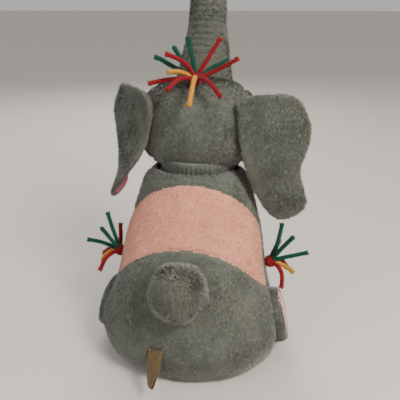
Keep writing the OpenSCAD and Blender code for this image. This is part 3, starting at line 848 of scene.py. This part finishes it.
def make_yarn(name, node, knot_node, body, material, shades, seed):
    """Three-ply wool strands with a soft halo and frayed ends."""
    knot = np.array(middle_of(knot_node))
    rng = np.random.default_rng(seed)
    points, faces = [], []
    for part in loose_parts(node):
        path = strand_path(part, knot)
        yarn = 1.62 * MM
        count = 46
        t = np.linspace(0, 1, count)
        middle = np.array([spline(path, x) for x in t])
        bend = rng.normal(size=3) * 2.6 * MM
        middle += (np.outer(t**2, bend)
                   + np.outer(np.sin(t * 5 + rng.uniform(0, 6)) * t, rng.normal(size=3) * 0.5 * MM))
        way = np.gradient(middle, axis=0)
        way /= np.linalg.norm(way, axis=1)[:, None]
        side = np.cross(way, [0.5, 0.3, 0.81])
        side /= np.linalg.norm(side, axis=1)[:, None]
        up = np.cross(way, side)
        length = np.linalg.norm(np.diff(middle, axis=0), axis=1).sum()
        fray = 1 + 0.9 * np.clip((t - 0.86) / 0.14, 0, 1) ** 1.5
        thin = yarn * 0.60 * (1 - 0.25 * np.clip((t - 0.9) / 0.1, 0, 1))
        for ply in range(3):
            turn = 2 * math.pi * (t * length / (8.5 * MM) + ply / 3)
            outward = np.cos(turn)[:, None] * side + np.sin(turn)[:, None] * up
            offset = (yarn * 0.48 * fray)[:, None] * outward
            yarn_tube(points, faces, middle + offset, thin)
    strands = mesh_object(name, points, faces, [material])
    halo = pile(
        f"{name}_halo", strands, shades, per_mm2=7.0, length=1.5 * MM, width=0.16 * MM,
        comb=(0, 0, 0.3), lean=0.7, seed=seed, most=14000)
    for obj in (strands, halo):
        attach(obj, body)
    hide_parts(node)


def make_knot(name, node, body, material, shades, seed):
    """The binding of a tuft: wool wound round and round."""
    centre, radius = np.array(middle_of(node)), span(node).x / 2
    rng = np.random.default_rng(seed)
    points, faces = [], []
    for _ in range(13):
        axis = rng.normal(size=3)
        axis /= np.linalg.norm(axis)
        side = np.cross(axis, rng.normal(size=3))
        side /= np.linalg.norm(side)
        up = np.cross(axis, side)
        t = np.linspace(0, 2 * math.pi * 1.02, 40)
        loop = centre + (radius * 0.78) * (np.cos(t)[:, None] * side + np.sin(t)[:, None] * up)
        loop += axis * (rng.uniform(-0.25, 0.25) * radius)
        yarn_tube(points, faces, loop, np.full(40, 1.05 * MM))
    wound = mesh_object(name, points, faces, [material])
    halo = pile(
        f"{name}_halo", wound, shades, per_mm2=5.0, length=1.3 * MM, width=0.16 * MM,
        comb=(0, 0, 0.3), lean=0.7, seed=seed, most=5000)
    for obj in (wound, halo):
        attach(obj, body)
    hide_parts(node)


# ---- Label ----


def ribbon_material():
    material = plain("ribbon_weave", (0.12, 0.07, 0.02), 0.5)
    tree = material.node_tree
    shader = tree.nodes["Principled BSDF"]
    shader.inputs["Sheen Weight"].default_value = 0.08
    weave = node_of(material, "ShaderNodeTexWave", Scale=520.0, Distortion=0.4)
    marks = node_of(material, "ShaderNodeTexBrick", Scale=170.0)
    marks.offset = 0.5
    marks.inputs["Mortar Size"].default_value = 0.06
    marks.inputs["Color1"].default_value = (0.006, 0.004, 0.003, 1)
    marks.inputs["Color2"].default_value = (0.15, 0.085, 0.02, 1)
    marks.inputs["Mortar"].default_value = (0.12, 0.065, 0.016, 1)
    place = tree.nodes.new("ShaderNodeTexCoord")
    tree.links.new(place.outputs["Object"], weave.inputs["Vector"])
    tree.links.new(place.outputs["Object"], marks.inputs["Vector"])
    mix = tree.nodes.new("ShaderNodeMixRGB")
    mix.inputs["Fac"].default_value = 0.55
    threads = ramp(material, weave.outputs["Fac"],
                   [(0.2, (0.035, 0.018, 0.005)), (0.8, (0.11, 0.062, 0.016))])
    tree.links.new(threads, mix.inputs["Color1"])
    tree.links.new(marks.outputs["Color"], mix.inputs["Color2"])
    tree.links.new(mix.outputs["Color"], shader.inputs["Base Color"])
    bump(material, weave.outputs["Fac"], 0.5, 0.0002)
    return material


def make_label():
    """A folded ribbon: down, round the fold and back up, with overcast edges."""
    co = points_of(NODES["label_ribbon"].data)
    centre = co.mean(axis=0)
    axes = np.linalg.svd(co - centre, full_matrices=False)[2]
    long, wide, thick = axes
    if long[2] > 0:
        long = -long
    thick = np.cross(long, wide)
    if thick[1] < 0:
        wide, thick = -wide, -thick
    centre = (long * ((co @ long).max() + (co @ long).min()) + wide * ((co @ wide).max() + (co @ wide).min())
              + thick * ((co @ thick).max() + (co @ thick).min())) / 2
    length, width = np.ptp(co @ long), np.ptp(co @ wide)
    gap = 0.75 * MM
    line = []
    for s in np.linspace(0, 1, 20):
        line.append((length * (s - 0.5), gap))
    for s in np.linspace(0, 1, 7)[1:-1]:
        line.append((length / 2 + gap * math.sin(math.pi * s), gap * math.cos(math.pi * s)))
    for s in np.linspace(1, 0, 20):
        line.append((length * (s - 0.5), -gap))
    columns = 13
    points, faces = [], []
    for x, y in line:
        curl = 1.5 * MM * ((x / length + 0.5) ** 2)
        for j in range(columns):
            u = j / (columns - 1) - 0.5
            cup = 0.8 * MM * (2 * u) ** 2 * (0.5 + x / length)
            twist = 0.95 * (x / length + 0.5) ** 1.5
            across, out = width * u, y - cup
            turned = (across * math.cos(twist) - out * math.sin(twist),
                      across * math.sin(twist) + out * math.cos(twist))
            points.append(centre + x * long + turned[0] * wide
                          + (turned[1] + curl + 2 * MM * math.sin(twist)) * thick)
    for i in range(len(line) - 1):
        for j in range(columns - 1):
            p = i * columns + j
            faces.append((p, p + 1, p + columns + 1, p + columns))
    edge = cloth("ribbon_edge", (0.13, 0.08, 0.03), 700, 0.2)
    ribbon = mesh_object("label_loop", points, faces, [ribbon_material(), edge])
    index = [1 if i % (columns - 1) in (0, columns - 2) else 0 for i in range(len(faces))]
    ribbon.data.polygons.foreach_set("material_index", index)
    solid = ribbon.modifiers.new("ply", "SOLIDIFY")
    solid.thickness = 0.35 * MM
    applied(ribbon)
    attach(ribbon, "label")
    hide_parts("label_ribbon")


# ---- Eyes ----


def make_eyes():
    gloss = plain("eye_gloss", (0.012, 0.009, 0.008), 0.08)
    shader = gloss.node_tree.nodes["Principled BSDF"]
    shader.inputs["Coat Weight"].default_value = 0.6
    gloss.node_tree.links.new(
        ramp(gloss, noise(gloss, 900, 3), [(0.45, (0.05,) * 3), (0.75, (0.20,) * 3)]),
        shader.inputs["Roughness"])
    gloss.node_tree.links.new(
        ramp(gloss, noise(gloss, 200, 2), [(0.3, (0.010, 0.007, 0.006)), (0.8, (0.03, 0.018, 0.012))]),
        shader.inputs["Base Color"])
    washer = plain("washer_plastic", (0.72, 0.72, 0.68), 0.5)
    washer.node_tree.links.new(
        ramp(washer, noise(washer, 300, 2), [(0.3, (0.66, 0.66, 0.62)), (0.8, (0.76, 0.76, 0.72))]),
        washer.node_tree.nodes["Principled BSDF"].inputs["Base Color"])
    for side in ("left", "right"):
        for node, material in ((f"eye_{side}", gloss), (f"eye_washer_{side}", washer)):
            data = NODES[node].data
            for slot in NODES[node].material_slots:
                slot.material = material
            if not NODES[node].material_slots:
                data.materials.append(material)


# ---- The whole toy ----

add_stage()
add_camera()

gray = cloth("gray_backing", shade(GRAY, 1.1), 900, 0.12)
pink = cloth("pink_backing", shade(PINK, 1.0), 900, 0.1)
rose = cloth("rose_felt", ROSE, 1200, 0.25)
pink_felt = cloth("pink_felt", (0.74, 0.45, 0.37), 1200, 0.2)
gray_pile = pile_shades("gray_pile", GRAY, 0.40, 0.35)
pink_pile = pile_shades("pink_pile", PINK, 0.17, 0.25)
rose_pile = pile_shades("rose_pile", ROSE, 0.3)
tail_pile = pile_shades("tail_pile", POMPOM, 0.35, 0.35)
pink_nap = pile_shades("pink_nap", (0.76, 0.47, 0.39), 0.16)

make_body(gray, pink, gray_pile, pink_pile)
make_head(gray, gray_pile)
make_neck(gray, gray_pile)
make_trunk(gray, gray_pile)
tip_axis = np.array(middle_of("trunk_tip")) - np.array(JOINTS["trunk_end"]["pos_m"])
make_pad("trunk_end_pad", "trunk_tip", tuple(tip_axis / np.linalg.norm(tip_axis)), "trunk_3",
         pink_felt, pink_nap, 2.2 * MM, 99)
make_limbs(gray, pink_felt, gray_pile, pink_nap)
make_ear("left", gray, rose, gray_pile, rose_pile, 101)
make_ear("right", gray, rose, gray_pile, rose_pile, 103)
make_tail(gray, tail_pile)
make_mouth(gray, rose, gray_pile)
YARNS = {"green": (0.004, 0.075, 0.040), "red": (0.26, 0.006, 0.014), "yellow": (0.62, 0.30, 0.035)}
for k, (colour, value) in enumerate(YARNS.items()):
    wool = cloth(f"{colour}_wool", value, 1500, 0.3, 0.95, 0.12)
    shades = pile_shades(f"{colour}_halo", value, 0.35, 0.12)
    make_yarn(f"crown_{colour}_yarn", f"crown_{colour}", "crown_knot", "head",
              wool, shades, 200 + k)
    for side in ("left", "right"):
        make_yarn(f"flank_{colour}_{side}_yarn", f"flank_{colour}_{side}", f"flank_knot_{side}", "torso",
                  wool, shades, 210 + 3 * k + (side == "left"))
    if colour == "red":
        make_knot("crown_binding", "crown_knot", "head", wool, shades, 230)
        for side in ("left", "right"):
            make_knot(f"flank_binding_{side}", f"flank_knot_{side}", "torso",
                      wool, shades, 231 + (side == "left"))
make_label()
make_eyes()
